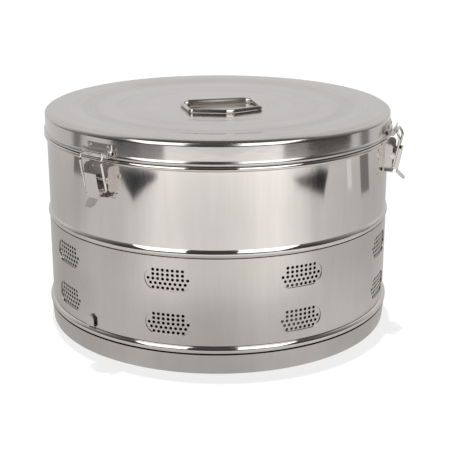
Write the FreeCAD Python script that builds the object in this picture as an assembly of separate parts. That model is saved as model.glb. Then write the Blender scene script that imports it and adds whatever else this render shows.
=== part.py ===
import FreeCAD, Part
import math
import os
from FreeCAD import Vector

# Sterilising drum in pressed stainless sheet. Millimetres, +Z up, the drum's axis is Z,
# the floor of the drum stands on Z = 0. Azimuths are in degrees from the front (-Y) towards +X.

# Sheet and general clearances
sheet = 0.8
latch_sheet = 1.0
loose_gap = 0.3
pin_clearance = 0.08

# Whole drum with its lid on, and the drum's wall with the seat that the shutter band turns on
drum_height = 242.8
wall_radius = 190.0
band_seat_depth = 0.7
mouth_drop = 10.8
hem_height = 6.0

# Base pan round the foot of the wall
base_height = 22.4
base_top_reach = 3.3
base_foot_reach = 1.6
base_corner = 4.0
floor_groove_radius = 128.0
floor_groove_width = 12.0
floor_groove_height = 2.0

# Beads rolled into the wall: each one's height, its reach past the wall and the middle one's level
lower_bead_height = 8.3
lower_bead_reach = 4.2
middle_bead_bottom = 124.2
middle_bead_height = 8.8
middle_bead_reach = 2.1
rim_bead_height = 5.0
rim_bead_reach = 2.9

# Shutter band, its windows, its lapped seam and its thumb tab
band_sheet = 0.8
window_pitch_angle = 41.6
window_columns = 8
first_window_angle = -140.2
window_width = 49.3
window_height = 24.1
window_rows = 2
window_row_start = 21.7
window_row_pitch = 47.3
seam_azimuth = 185.4
seam_width = 16.0
seam_rivets = 6
seam_rivet_radius = 2.4
seam_rivet_height = 1.0
tab_azimuth = -43.7
tab_width = 12.0
tab_height = 13.5
tab_reach = 5.0
tab_brow_bend = 2.2
tab_sheet = 0.8

# Lid
lid_depth = 25.5
lid_slip = 0.6
lid_bead_height = 5.4
lid_bead_reach = 1.5
lid_crown_radius = 16.0
lid_edge_radius = 2.6
lid_crown_angle = 35.0
lid_rings = ((95.0, 0.9), (142.0, 0.9), (165.0, 1.0))
lid_ring_slope = 4.0

# Lid handle: a closed wire bail in a strap clip
bail_wire = 4.2
bail_width = 82.0
bail_front_width = 80.0
bail_arm = 43.5
bail_apex = 58.0
bail_angle = 13.2
bail_offset = (-1.05, 8.4)
bail_corner = 5.0
bail_apex_bend = 22.0
clip_length = 66.0
clip_flange = 6.0
clip_rivet_radius = 2.2
clip_rivet_height = 0.9

# Toggle latches: base channel and pivot pin
latch_azimuths = {"left": -37.5, "right": 74.5, "back": 198.5}
latch_width = 34.0
latch_height = 31.6
latch_rim_gap = 0.8
flange_depth = 8.2
flange_chamfer = 2.7
ear_radius = 3.6
ear_angle = 70.0
lip_reach = 8.6
pivot_reach = 8.4
pivot_drop = 13.2
pivot_pin = 2.6
pin_head_radius = 2.4
pin_head_height = 1.0
latch_rivet_radius = 2.2
latch_rivet_height = 1.0
latch_rivet_spread = 11.2

# Toggle latches: lever, measured from its pivot
lever_width = 16.4
lever_tail_width = 12.8
lever_tip_width = 7.6
lever_top_rise = 6.5
lever_bend_drop = 20.0
lever_top_reach = 8.8
lever_bend_reach = 4.0
lever_pivot_cover = 2.9
lever_flange_top = 5.0
tail_length = 11.0
tail_angle = 50.0

# Toggle latches: wire loop, pivoted in the lever below the lever's own pivot
loop_wire = 2.5
loop_side_gap = 0.55
loop_pivot_reach = 0.2
loop_pivot_drop = 12.5
loop_bar_gap = 0.75
loop_bar_rise = 4.7
loop_knee_reach = 3.8
loop_knee_drop = 8.0
loop_end_bend = 3.0
loop_knee_bend = 7.0
loop_bar_bend = 5.0

# Toggle latches: keeper on the lid, a hook open upwards
keeper_width = 33.0
keeper_rise = 9.3
keeper_hang = 2.9
keeper_seat_gap = 2.7
keeper_slot = 4.2
keeper_lip_height = 8.8

# Worked out from the sizes above
lid_bottom = drum_height - lid_depth
rim_bead_top = lid_bottom - loose_gap
rim_bead_bottom = rim_bead_top - rim_bead_height
seat_radius = wall_radius - band_seat_depth
lower_bead_bottom = base_height + loose_gap
lower_bead_top = lower_bead_bottom + lower_bead_height
middle_bead_top = middle_bead_bottom + middle_bead_height
band_outer = wall_radius + band_sheet
band_bottom = lower_bead_top + loose_gap
band_top = middle_bead_bottom - loose_gap
lid_bead_top = lid_bottom + lid_bead_height
lid_panel = drum_height - sum(rise for radius, rise in lid_rings)
lid_skirt_radius = wall_radius + lid_slip + sheet
lid_bead_radius = lid_skirt_radius + lid_bead_reach
mouth_height = drum_height - mouth_drop
bail_radius = bail_wire / 2
bail_level = lid_panel + loose_gap + bail_radius
latch_top = rim_bead_bottom - latch_rim_gap
latch_bottom = latch_top - latch_height
pivot_radius = wall_radius + pivot_reach
pivot_height = latch_top - pivot_drop
keeper_top = lid_bead_top + keeper_rise
keeper_bottom = lid_bead_top - keeper_hang
keeper_seat_bottom = lid_bead_top + keeper_seat_gap
keeper_lip_top = keeper_bottom + keeper_lip_height
slot_radius = lid_bead_radius + loose_gap + latch_sheet
lip_radius = slot_radius + keeper_slot + latch_sheet
loop_radius = loop_wire / 2
loop_pivot_radius = pivot_radius + loop_pivot_reach
loop_pivot_height = pivot_height - loop_pivot_drop
loop_bar_radius = lip_radius + loop_bar_gap + loop_radius
loop_bar_height = keeper_bottom + loop_bar_rise
loop_side = latch_width / 2 - latch_sheet - loop_side_gap - loop_radius


def point(r, z, t=0.0):
    """A point at radius r and height z, t to the right, on the front of the drum."""
    return Vector(t, -r, z)


def edges_through(steps):
    """Join steps into edges: a pair is a straight run's end, two pairs an arc's middle and end."""
    edges = []
    here = steps[0]
    for step in steps[1:]:
        if isinstance(step[0], tuple):
            middle, end = step
            edges.append(Part.Arc(point(*here), point(*middle), point(*end)).toShape())
        else:
            end = step
            edges.append(Part.LineSegment(point(*here), point(*end)).toShape())
        here = end
    return edges


def profile(steps):
    """Closed face in the plane through the drum's axis."""
    edges = edges_through(steps + [steps[0]])
    return Part.Face(Part.Wire(edges))


def turned(steps, half_angle=180.0):
    """Turn a profile round the drum's axis, all round or by a half angle to each side."""
    face = profile(steps)
    face.rotate(Vector(0, 0, 0), Vector(0, 0, 1), -half_angle)
    return face.revolve(Vector(0, 0, 0), Vector(0, 0, 1), 2 * half_angle)


def across(steps, width, centre=0.0):
    """A profile drawn across the front of the drum, its width centred at a distance."""
    face = profile(steps)
    face.translate(Vector(centre - width / 2, 0, 0))
    return face.extrude(Vector(width, 0, 0))


def bead(low_wall, high_wall, peak, bottom, top):
    """Outer and inner runs of a bead rolled outwards, both listed upwards."""
    half = (top - bottom) / 2
    middle = (top + bottom) / 2
    rise = peak - max(low_wall, high_wall)
    outer_arc = half if rise >= half else (half * half + rise * rise) / (2 * rise)
    centre = peak - outer_arc
    inner_arc = outer_arc - sheet

    def meets(radius, arc):
        reach = max(radius, centre)
        return math.sqrt(max(arc * arc - (reach - centre) ** 2, 0.0))

    def run(low, high, arc, tip):
        low_half = meets(low, arc)
        high_half = meets(high, arc)
        steps = [(low, middle - low_half)]
        if low < centre:
            steps.append((centre, middle - low_half))
        last = (max(high, centre), middle + high_half)
        steps.append(((tip, middle), last))
        if high < centre:
            steps.append((high, middle + high_half))
        return steps

    outer = run(low_wall, high_wall, outer_arc, peak)
    inner = run(low_wall - sheet, high_wall - sheet, inner_arc, peak - sheet)
    return outer, inner


def backwards(steps):
    """The same run, listed the other way."""
    ends = []
    arcs = []
    for step in steps:
        if isinstance(step[0], tuple):
            arcs.append(step[0])
            ends.append(step[1])
        else:
            arcs.append(None)
            ends.append(step)
    turned_steps = [ends[-1]]
    for index in range(len(steps) - 1, 0, -1):
        if arcs[index]:
            turned_steps.append((arcs[index], ends[index - 1]))
        else:
            turned_steps.append(ends[index - 1])
    return turned_steps


def joined(first, *others):
    """One solid from several that overlap."""
    solid = first.fuse(list(others))
    return solid.removeSplitter()


def peg(radius, start, end):
    """A round bar between two points."""
    axis = end - start
    return Part.makeCylinder(radius, axis.Length, start, axis)


def pivot_peg(radius, reach):
    """A round bar on the lever's pivot line, reaching as far to each side."""
    return peg(radius, point(pivot_radius, pivot_height, -reach), point(pivot_radius, pivot_height, reach))


def wire_form(corners, bends, radius, closed=False):
    """A bent round wire through the corner points, with a bend radius at each inner corner."""
    edges = []
    count = len(corners)
    here = corners[0]
    for index in range(1, count if closed else count - 1):
        corner = corners[index]
        ahead = corners[(index + 1) % count]
        back_way = (corners[index - 1] - corner).normalize()
        ahead_way = (ahead - corner).normalize()
        half_angle = back_way.getAngle(ahead_way) / 2
        bend = bends[index]
        reach = bend / math.tan(half_angle)
        start = corner + back_way * reach
        end = corner + ahead_way * reach
        towards = (back_way + ahead_way).normalize()
        centre = corner + towards * (bend / math.sin(half_angle))
        middle = centre - towards * bend
        edges.append(Part.LineSegment(here, start).toShape())
        edges.append(Part.Arc(start, middle, end).toShape())
        here = end
    edges.append(Part.LineSegment(here, corners[0] if closed else corners[-1]).toShape())
    spine = Part.Wire(edges)
    first_way = corners[1] - corners[0]
    circle = Part.makeCircle(radius, corners[0], first_way)
    return spine.makePipeShell([Part.Wire([circle])], True, True)


def dome(radius, height, seat, way):
    """A low rivet head standing on a face."""
    ball_radius = (radius * radius + height * height) / (2 * height)
    way = Vector(way).normalize()
    ball = Part.makeSphere(ball_radius, seat - way * (ball_radius - height))
    return ball.common(Part.makeCylinder(radius * 2, height * 2, seat, way))


def placed(shape, azimuth):
    """Turn a piece made at the front of the drum to its azimuth."""
    copy = shape.copy()
    copy.rotate(Vector(0, 0, 0), Vector(0, 0, 1), azimuth)
    return copy


def body_wall():
    """Rolled wall with three beads, a hemmed mouth and a seat for the shutter band."""
    low_out, low_in = bead(seat_radius, seat_radius, wall_radius + lower_bead_reach,
                           lower_bead_bottom, lower_bead_top)
    mid_out, mid_in = bead(seat_radius, wall_radius, wall_radius + middle_bead_reach,
                           middle_bead_bottom, middle_bead_top)
    rim_out, rim_in = bead(wall_radius, wall_radius, wall_radius + rim_bead_reach,
                           rim_bead_bottom, rim_bead_top)
    foot = sheet + base_corner / 2
    inside = wall_radius - sheet
    hem = inside - sheet
    outer = [(seat_radius, foot)] + low_out + mid_out + rim_out
    mouth = [(wall_radius, mouth_height - sheet)]
    mouth.append(((wall_radius - sheet, mouth_height), (hem, mouth_height - sheet)))
    mouth.append((hem, mouth_height - hem_height))
    mouth.append((inside, mouth_height - hem_height))
    inner = backwards([(seat_radius - sheet, foot)] + low_in + mid_in + rim_in)
    return turned(outer + mouth + inner)


def base_pan():
    """Pressed pan round the foot of the wall, its floor stiffened by one groove."""
    low = base_corner
    bend = math.sqrt(0.5)
    base_top_radius = wall_radius + base_top_reach
    base_foot_radius = wall_radius + base_foot_reach
    outer_foot = base_foot_radius - base_corner
    groove_out = floor_groove_radius + floor_groove_width / 2
    groove_in = floor_groove_radius - floor_groove_width / 2
    slope = floor_groove_height
    steps = [(base_top_radius, base_height), (base_foot_radius, low)]
    steps.append(((outer_foot + base_corner * bend, low - base_corner * bend), (outer_foot, 0.0)))
    steps += [(groove_out, 0.0), (groove_out - slope, floor_groove_height)]
    steps += [(groove_in + slope, floor_groove_height), (groove_in, 0.0), (0.0, 0.0), (0.0, sheet)]
    steps += [(groove_in, sheet), (groove_in + slope, floor_groove_height + sheet)]
    steps += [(groove_out - slope, floor_groove_height + sheet), (groove_out, sheet)]
    inner_corner = base_corner - sheet
    steps.append((outer_foot, sheet))
    steps.append(((outer_foot + inner_corner * bend, low - inner_corner * bend),
                  (base_foot_radius - sheet, low)))
    steps.append((base_top_radius - sheet, base_height))
    return turned(steps)


def window(azimuth, height):
    """Cutter for one window with round ends, as wide along the band as it is drawn."""
    end_radius = window_height / 2
    half_run = window_width / 2 - end_radius
    front = -(band_outer + sheet)
    depth = sheet * 4
    ends = [Vector(side * half_run, front, height) for side in (-1, 1)]
    rounds = [Part.makeCylinder(end_radius, depth, end, Vector(0, 1, 0)) for end in ends]
    slab = Part.makeBox(2 * half_run, depth, window_height,
                        Vector(-half_run, front, height - end_radius))
    return placed(joined(slab, *rounds), azimuth)


def shutter_band():
    """Turning band with two rows of windows and a lapped seam at the back."""
    strip = [(wall_radius, band_bottom), (band_outer, band_bottom)]
    strip += [(band_outer, band_top), (wall_radius, band_top)]
    ring = turned(strip)
    lap_half = math.degrees(seam_width / 2 / band_outer)
    lap = [(band_outer - band_sheet / 2, band_bottom), (band_outer + band_sheet, band_bottom)]
    lap += [(band_outer + band_sheet, band_top), (band_outer - band_sheet / 2, band_top)]
    seam = placed(turned(lap, lap_half), seam_azimuth)
    columns = [first_window_angle + column * window_pitch_angle for column in range(window_columns)]
    rows = [band_bottom + window_row_start + row * window_row_pitch for row in range(window_rows)]
    cutters = [window(azimuth, height) for azimuth in columns for height in rows]
    return joined(ring, seam).cut(cutters)


def seam_rivet_heads():
    """Row of rivet heads down the lapped seam."""
    spacing = (band_top - band_bottom) / seam_rivets
    heads = []
    for index in range(seam_rivets):
        seat = point(band_outer + band_sheet, band_bottom + spacing * (index + 0.5))
        heads.append(dome(seam_rivet_radius, seam_rivet_height, seat, Vector(0, -1, 0)))
    return placed(Part.makeCompound(heads), seam_azimuth)


def arch(width, height, bottom, start, depth):
    """Solid with an arch outline, standing out of the band."""
    half = width / 2
    spring = bottom + height - half
    low_left = Vector(-half, -start, bottom)
    low_right = Vector(half, -start, bottom)
    high_left = Vector(-half, -start, spring)
    high_right = Vector(half, -start, spring)
    crown = Vector(0, -start, spring + half)
    edges = [Part.LineSegment(low_left, low_right).toShape()]
    edges.append(Part.LineSegment(low_right, high_right).toShape())
    edges.append(Part.Arc(high_right, crown, high_left).toShape())
    edges.append(Part.LineSegment(high_left, low_left).toShape())
    return Part.Face(Part.Wire(edges)).extrude(Vector(0, -depth, 0))


def shutter_tab():
    """Thumb tab on the band: a small scoop, open below, with a rounded brow."""
    bottom = band_bottom + loose_gap
    start = band_outer
    outer = arch(tab_width, tab_height, bottom, start, tab_reach)
    face_edges = [edge for edge in outer.Edges if edge.BoundBox.YMax < -(start + tab_reach / 2)]
    brow = [edge for edge in face_edges if edge.BoundBox.ZMax > bottom + tab_sheet]
    outer = outer.makeFillet(tab_brow_bend, brow)
    inner = arch(tab_width - 2 * tab_sheet, tab_height - tab_sheet, bottom - sheet,
                 start - sheet, tab_reach - tab_sheet + sheet)
    scoop = outer.cut(inner)
    drum = Part.makeCylinder(band_outer, 2 * tab_height, Vector(0, 0, bottom - tab_height / 2))
    return placed(scoop.cut(drum), tab_azimuth)


def lid():
    """Shallow pressed lid: stepped panel, crowned edge, skirt and rolled edge."""
    turn = math.radians(lid_crown_angle)
    half_turn = turn / 2
    crown_start = (lid_skirt_radius - lid_edge_radius
                   - (lid_crown_radius - lid_edge_radius) * math.sin(turn))
    crown_centre = (crown_start, drum_height - lid_crown_radius)
    edge_centre = (crown_centre[0] + (lid_crown_radius - lid_edge_radius) * math.sin(turn),
                   crown_centre[1] + (lid_crown_radius - lid_edge_radius) * math.cos(turn))
    edge_turn = (turn + math.pi / 2) / 2

    def polar(centre, radius, angle):
        return (centre[0] + radius * math.sin(angle), centre[1] + radius * math.cos(angle))

    def skin(inset):
        steps = [(0.0, lid_panel - inset)]
        level = lid_panel - inset
        for radius, rise in lid_rings:
            steps.append((radius - lid_ring_slope / 2, level))
            level += rise
            steps.append((radius + lid_ring_slope / 2, level))
        crown = lid_crown_radius - inset
        edge = lid_edge_radius - inset
        steps.append((crown_start, level))
        steps.append((polar(crown_centre, crown, half_turn), polar(crown_centre, crown, turn)))
        steps.append((polar(edge_centre, edge, edge_turn), (lid_skirt_radius - inset, edge_centre[1])))
        return steps

    bead_middle = (lid_bottom + lid_bead_top) / 2
    outer = skin(0.0) + [(lid_skirt_radius, lid_bead_top)]
    outer.append(((lid_bead_radius, bead_middle), (lid_skirt_radius, lid_bottom)))
    inner = [(lid_skirt_radius - sheet, lid_bottom)] + backwards(skin(sheet))
    return turned(outer + inner)


def on_lid(shape):
    """Place a piece of the lid's handle: its hinge line runs along X through the origin."""
    shape.rotate(Vector(0, 0, 0), Vector(0, 0, 1), bail_angle)
    shape.translate(Vector(bail_offset[0], bail_offset[1], 0))
    return shape


def bail():
    """Closed wire bail with a pointed front, lying on the lid towards the viewer."""
    half = bail_width / 2
    front = bail_front_width / 2
    corners = [Vector(0, 0, 0), Vector(half, 0, 0), Vector(front, -bail_arm, 0)]
    corners += [Vector(0, -bail_apex, 0), Vector(-front, -bail_arm, 0), Vector(-half, 0, 0)]
    bends = [0, bail_corner, bail_corner, bail_apex_bend, bail_corner, bail_corner]
    ring = wire_form(corners, bends, bail_radius, closed=True)
    ring.translate(Vector(0, 0, bail_level))
    return on_lid(ring)


def bail_clip():
    """Strap folded over the hinge side of the bail, its two flanges on the lid."""
    inner = bail_radius + loose_gap
    outer = inner + sheet
    reach = outer + clip_flange
    axis = bail_level
    steps = [(-reach, lid_panel), (-reach, lid_panel + sheet), (-outer, lid_panel + sheet)]
    steps += [(-outer, axis), ((0, axis + outer), (outer, axis)), (outer, lid_panel + sheet)]
    steps += [(reach, lid_panel + sheet), (reach, lid_panel), (inner, lid_panel)]
    steps += [(inner, axis), ((0, axis + inner), (-inner, axis)), (-inner, lid_panel)]
    return on_lid(across(steps, clip_length))


def clip_rivet_heads():
    """Four rivet heads that hold the strap's flanges."""
    run = clip_length / 2 - 2 * clip_rivet_radius
    side = bail_radius + loose_gap + sheet + clip_flange / 2
    top = lid_panel + sheet
    seats = [Vector(x, y, top) for x in (-run, run) for y in (-side, side)]
    heads = [dome(clip_rivet_radius, clip_rivet_height, seat, Vector(0, 0, 1)) for seat in seats]
    return on_lid(Part.makeCompound(heads))


def latch_base():
    """Channel on the wall: curved back, two flanges with pivot ears, and a lip below."""
    half_angle = math.degrees(math.asin(latch_width / 2 / wall_radius))
    back = [(wall_radius, latch_bottom), (wall_radius + latch_sheet, latch_bottom)]
    back += [(wall_radius + latch_sheet, latch_top), (wall_radius, latch_top)]
    plate = turned(back, half_angle)
    root = wall_radius * math.cos(math.radians(half_angle))
    flange = wall_radius + flange_depth
    turn = math.radians(ear_angle)
    ear_half = ear_radius * math.sin(turn)
    ear_side = pivot_radius + ear_radius * math.cos(turn)
    ear_foot = ear_half + (ear_side - flange) / math.tan(turn)
    steps = [(root, latch_top), (flange - flange_chamfer, latch_top)]
    steps += [(flange, latch_top - flange_chamfer), (flange, pivot_height + ear_foot)]
    steps.append((ear_side, pivot_height + ear_half))
    steps.append(((pivot_radius + ear_radius, pivot_height), (ear_side, pivot_height - ear_half)))
    steps += [(flange, pivot_height - ear_foot), (flange, latch_bottom + 3 * flange_chamfer)]
    steps += [(flange - flange_chamfer, latch_bottom + 2 * flange_chamfer)]
    steps += [(root, latch_bottom + 2 * flange_chamfer)]
    offset = (latch_width - latch_sheet) / 2
    flanges = [across(steps, latch_sheet, side * offset) for side in (-1, 1)]
    lip_steps = [(root, latch_bottom), (wall_radius + lip_reach, latch_bottom)]
    lip_steps += [(wall_radius + lip_reach, latch_bottom + latch_sheet)]
    lip_steps += [(root, latch_bottom + latch_sheet)]
    lip = across(lip_steps, latch_width - 4 * latch_sheet)
    drum = Part.makeCylinder(wall_radius, latch_height, Vector(0, 0, latch_bottom))
    bore = pivot_peg(pivot_pin / 2, latch_width)
    return joined(plate, *flanges, lip).cut([drum, bore])


def latch_pin():
    """Pivot pin through both ears, with a flat head outside each."""
    half = latch_width / 2
    shank = pivot_peg(pivot_pin / 2, half)
    heads = []
    for side in (-1, 1):
        start = point(pivot_radius, pivot_height, side * half)
        end = point(pivot_radius, pivot_height, side * (half + pin_head_height))
        heads.append(peg(pin_head_radius, start, end))
    return joined(shank, *heads)


def latch_lever():
    """Channel lever, open towards the drum, ending below in a kicked-out finger tail."""
    top = (pivot_radius + lever_top_reach, pivot_height + lever_top_rise)
    bend = (pivot_radius + lever_bend_reach, pivot_height - lever_bend_drop)
    lean = math.atan2(top[0] - bend[0], top[1] - bend[1])
    kick = math.radians(tail_angle)
    tip = (bend[0] + tail_length * math.sin(kick), bend[1] - tail_length * math.cos(kick))
    mitre = latch_sheet * math.tan((kick + lean) / 2)
    face_way = (math.sin(lean), math.cos(lean))
    tail_way = (math.sin(kick), -math.cos(kick))

    def inside(spot, along, slide):
        across_way = (-face_way[1], face_way[0]) if along == "face" else (tail_way[1], -tail_way[0])
        run = face_way if along == "face" else tail_way
        return (spot[0] + across_way[0] * latch_sheet + run[0] * slide,
                spot[1] + across_way[1] * latch_sheet + run[1] * slide)

    inner_top = inside(top, "face", 0.0)
    inner_bend = inside(bend, "face", -mitre)
    inner_tip = inside(tip, "tail", 0.0)
    plate = across([top, bend, tip, inner_tip, inner_bend, inner_top], lever_width)
    cover = lever_pivot_cover
    deep = pivot_radius - cover
    loop_low = loop_pivot_height - cover
    flange_steps = [top, bend, (loop_pivot_radius + cover, loop_low - latch_sheet)]
    flange_steps += [(loop_pivot_radius - cover / 3, loop_low)]
    flange_steps += [(loop_pivot_radius - cover, loop_pivot_height)]
    flange_steps += [(deep, pivot_height - cover), (deep, pivot_height + cover / 4)]
    flange_steps += [(deep + cover / 2, pivot_height + cover), (inner_top[0] - lever_flange_top, top[1])]
    offset = (lever_width - latch_sheet) / 2
    flanges = [across(flange_steps, latch_sheet, side * offset) for side in (-1, 1)]
    lever = joined(plate, *flanges)
    half = lever_width / 2
    tail_half = lever_tail_width / 2
    taper_top = loop_low - 1.5 * latch_sheet
    low = tip[1] - latch_sheet
    round_start = tip[1] + tail_half / 2
    round_end = lever_tip_width / 2
    high = top[1] + latch_sheet
    outline = [(-half, high), (half, high), (half, taper_top), (tail_half, bend[1])]
    outline += [(tail_half, round_start), (round_end, low), (-round_end, low)]
    outline += [(-tail_half, round_start), (-tail_half, bend[1]), (-half, taper_top)]
    corners = [Vector(x, -wall_radius, z) for x, z in outline]
    depth = tip[0] - wall_radius + latch_sheet
    blank = Part.Face(Part.makePolygon(corners + corners[:1])).extrude(Vector(0, -depth, 0))
    lever = lever.common(blank)
    for radius, reach, height in ((pivot_pin / 2, pivot_radius, pivot_height),
                                  (loop_radius, loop_pivot_radius, loop_pivot_height)):
        hole = peg(radius + pin_clearance, point(reach, height, -half), point(reach, height, half))
        lever = lever.cut(hole)
    return lever


def latch_loop():
    """Wire loop that pivots in the lever and reaches up to the keeper."""
    side = loop_side
    foot = loop_pivot_radius
    end = lever_width / 2 - latch_sheet - 2 * loose_gap
    knee = (loop_bar_radius + loop_knee_reach, loop_bar_height - loop_knee_drop)
    bar = (loop_bar_radius, loop_bar_height)
    corners = [point(foot, loop_pivot_height, -end), point(foot, loop_pivot_height, -side)]
    corners += [point(*knee, -side), point(*bar, -side), point(*bar, side), point(*knee, side)]
    corners += [point(foot, loop_pivot_height, side), point(foot, loop_pivot_height, end)]
    bends = [0, loop_end_bend, loop_knee_bend, loop_bar_bend, loop_bar_bend, loop_knee_bend]
    bends += [loop_end_bend, 0]
    return wire_form(corners, bends, loop_radius)


def latch_keeper():
    """Hook on the lid's skirt, bent over the lid's rolled edge and open upwards."""
    half_angle = math.degrees(math.asin(keeper_width / 2 / lid_skirt_radius))
    seat = lid_skirt_radius
    slot = slot_radius
    jog = slot - latch_sheet - seat
    steps = [(seat, keeper_top), (seat, keeper_seat_bottom)]
    steps += [(slot - latch_sheet, keeper_seat_bottom - jog), (slot - latch_sheet, keeper_bottom)]
    steps += [(lip_radius, keeper_bottom), (lip_radius, keeper_lip_top)]
    steps += [(lip_radius - latch_sheet, keeper_lip_top)]
    steps += [(lip_radius - latch_sheet, keeper_bottom + latch_sheet)]
    steps += [(slot, keeper_bottom + latch_sheet), (slot, keeper_seat_bottom - jog + latch_sheet / 2)]
    steps += [(seat + latch_sheet, keeper_seat_bottom + latch_sheet / 2), (seat + latch_sheet, keeper_top)]
    return turned(steps, half_angle)


def latch_rivet_heads():
    """Four rivet heads on the back of the latch's base."""
    heads = []
    for side in (-1, 1):
        for height in (latch_bottom + 4 * latch_rivet_radius, latch_top - 2 * latch_rivet_radius):
            angle = math.asin(side * latch_rivet_spread / wall_radius)
            way = Vector(math.sin(angle), -math.cos(angle), 0)
            seat = way * (wall_radius + latch_sheet) + Vector(0, 0, height)
            heads.append(dome(latch_rivet_radius, latch_rivet_height, seat, way))
    return Part.makeCompound(heads)


def keeper_rivet_heads():
    """Two rivet heads on the keeper's seat."""
    heads = []
    for side in (-1, 1):
        angle = math.asin(side * latch_rivet_spread / lid_skirt_radius)
        way = Vector(math.sin(angle), -math.cos(angle), 0)
        seat = way * (lid_skirt_radius + latch_sheet)
        seat.z = (keeper_top + keeper_seat_bottom) / 2
        heads.append(dome(latch_rivet_radius, latch_rivet_height, seat, way))
    return Part.makeCompound(heads)


def build():
    """Every piece by its name."""
    pieces = {"body_wall": body_wall(), "base_pan": base_pan()}
    pieces["shutter_band"] = shutter_band()
    pieces["shutter_seam_rivets"] = seam_rivet_heads()
    pieces["shutter_tab"] = shutter_tab()
    pieces["lid"] = lid()
    pieces["bail"] = bail()
    pieces["bail_clip"] = bail_clip()
    pieces["bail_clip_rivets"] = clip_rivet_heads()
    latch_pieces = {"base": latch_base(), "base_rivets": latch_rivet_heads(), "pin": latch_pin()}
    latch_pieces["lever"] = latch_lever()
    latch_pieces["loop"] = latch_loop()
    latch_pieces["keeper"] = latch_keeper()
    latch_pieces["keeper_rivets"] = keeper_rivet_heads()
    for side, azimuth in latch_azimuths.items():
        for name, shape in latch_pieces.items():
            pieces["latch_" + name + "_" + side] = placed(shape, azimuth)
    return pieces


os.makedirs("parts", exist_ok=True)
for node, shape in build().items():
    assert shape.isValid(), node
    assert all(solid.Volume > 0 for solid in shape.Solids), node
    shape.exportStep(os.path.join("parts", node + ".step"))
    print(node, len(shape.Solids), "solids,", round(shape.Volume), "cubic millimetres")
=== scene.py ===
import math

import bmesh
import bpy
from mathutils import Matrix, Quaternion, Vector


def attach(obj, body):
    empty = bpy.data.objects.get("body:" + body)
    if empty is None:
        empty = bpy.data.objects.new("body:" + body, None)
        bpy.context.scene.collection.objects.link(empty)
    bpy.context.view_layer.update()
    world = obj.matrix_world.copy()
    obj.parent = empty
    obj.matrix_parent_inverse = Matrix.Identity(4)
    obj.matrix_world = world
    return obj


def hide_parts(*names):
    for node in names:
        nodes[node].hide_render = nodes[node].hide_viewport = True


# A sterilising drum of stainless sheet: a polished wall with rolled beads, a satin lid, and a satin
# band with windows that turns on the wall over its steam holes. Lengths are in millimetres and
# become metres where a mesh is made. Azimuths run from the front (-Y) towards +X.

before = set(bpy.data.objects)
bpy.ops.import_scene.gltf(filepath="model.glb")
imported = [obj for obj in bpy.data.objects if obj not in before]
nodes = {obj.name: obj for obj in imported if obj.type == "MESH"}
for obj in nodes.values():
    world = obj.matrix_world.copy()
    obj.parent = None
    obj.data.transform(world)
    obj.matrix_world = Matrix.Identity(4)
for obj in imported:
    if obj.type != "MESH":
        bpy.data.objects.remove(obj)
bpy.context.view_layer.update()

# A millimetre in metres, the sheet with its broken edges, and the facets in a full turn
MM = 0.001
SHEET = 0.8
SHEET_EDGE = 0.15
TURN_STEPS = 256

# Drawing: how near two points are when they are one, the degrees of arc to a facet, the facets in a
# bend of wire, a ring's slope and the seam's lap, and the depth of a block that cuts a window
TOUCH = 0.01
ARC_FACET = 12
BEND_STEPS = 8
SLOPE_STEPS = 8
LAP_STEPS = 8
BLOCK_DEPTH = 8

# Degrees past which an edge is broken on new sheet and on the small pressings, and past which
# shading creases on sheet and on wire
BROKEN_ANGLE = 50
PRESSED_ANGLE = 40
CREASE_ANGLE = 32
WIRE_CREASE_ANGLE = 50

# Wall: its radius, the seat that the band turns on, its foot, its mouth and the hem rolled in there
WALL = 190.0
SEAT = 189.3
WALL_FOOT = 2.8
MOUTH = 232.0
HEM_RADIUS = 0.95
HEM_DEPTH = 6.0

# Beads rolled into the wall, each by the radius and level of its middle
LOWER_BEAD = (190.05, 26.85)
LOWER_BEAD_RADIUS = 4.15
MIDDLE_BEAD = (186.44, 128.6)
MIDDLE_BEAD_FOOT = 123.72
MIDDLE_BEAD_TOP = 133.0
MIDDLE_BEAD_TURN = 110.6
RIM_BEAD = (190.4, 214.5)
RIM_BEAD_RADIUS = 2.5

# Base pan with the groove that stiffens its floor
BASE_TOP = 22.4
BASE_TOP_RADIUS = 193.3
BASE_FOOT_RADIUS = 191.6
BASE_CORNER = 4.0
GROOVE = (122.0, 134.0)
GROOVE_HEIGHT = 2.0

# Turning band, the windows in it, each by its width, height and corner, and the lap of its seam
BAND_BOTTOM = 31.3
BAND_TOP = 123.9
WINDOW_COLUMNS = 8
WINDOW_PITCH = 41.6
FIRST_WINDOW = -140.2
WINDOW_AZIMUTHS = [FIRST_WINDOW + WINDOW_PITCH * column for column in range(WINDOW_COLUMNS)]
WINDOW_LEVELS = (53.0, 100.3)
WINDOW_SIZE = (49.3, 24.1, 12.04)
WINDOW_EDGE = 0.14
SEAM_AZIMUTH = 185.4
SEAM_ANGLE = 4.8

# Wall behind each window: the opening that a plate with steam holes fills, the plate's rows, the rim
# of a cell before its hole is rounded, and how far above the cell the rows are made
OPENING_SIZE = (52.0, 26.0, 2.0)
PLATE_FACE = 189.85
PLATE = 0.5
PLATE_HALF_ANGLE = 8.2
PLATE_MARGIN = 2.2
HOLE_RADIUS = 1.7
HOLE_ROWS = (7, 7, 9, 8, 7)
HOLE_ROW_PITCH = 4.7
HOLE_ANGLE = 1.56
CELL_RIM = 0.2
ROW_LIFT = 100.0

# Lid: its panel with the radius, width and rise of each ring, its crowned edge, skirt and rolled rim
LID_PANEL = 240.0
LID_STEPS = ((88, 30, 0.7), (138, 8, -0.2), (155, 26, 2.3))
CROWN = 16.0
CROWN_ANGLE = 32
LID_CORNER = 4.2
LID_SKIRT = 191.4
LID_ROLL_LEVEL = 220.0
LID_ROLL_REACH = 1.5
LID_ROLL_HALF = 2.7

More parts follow.
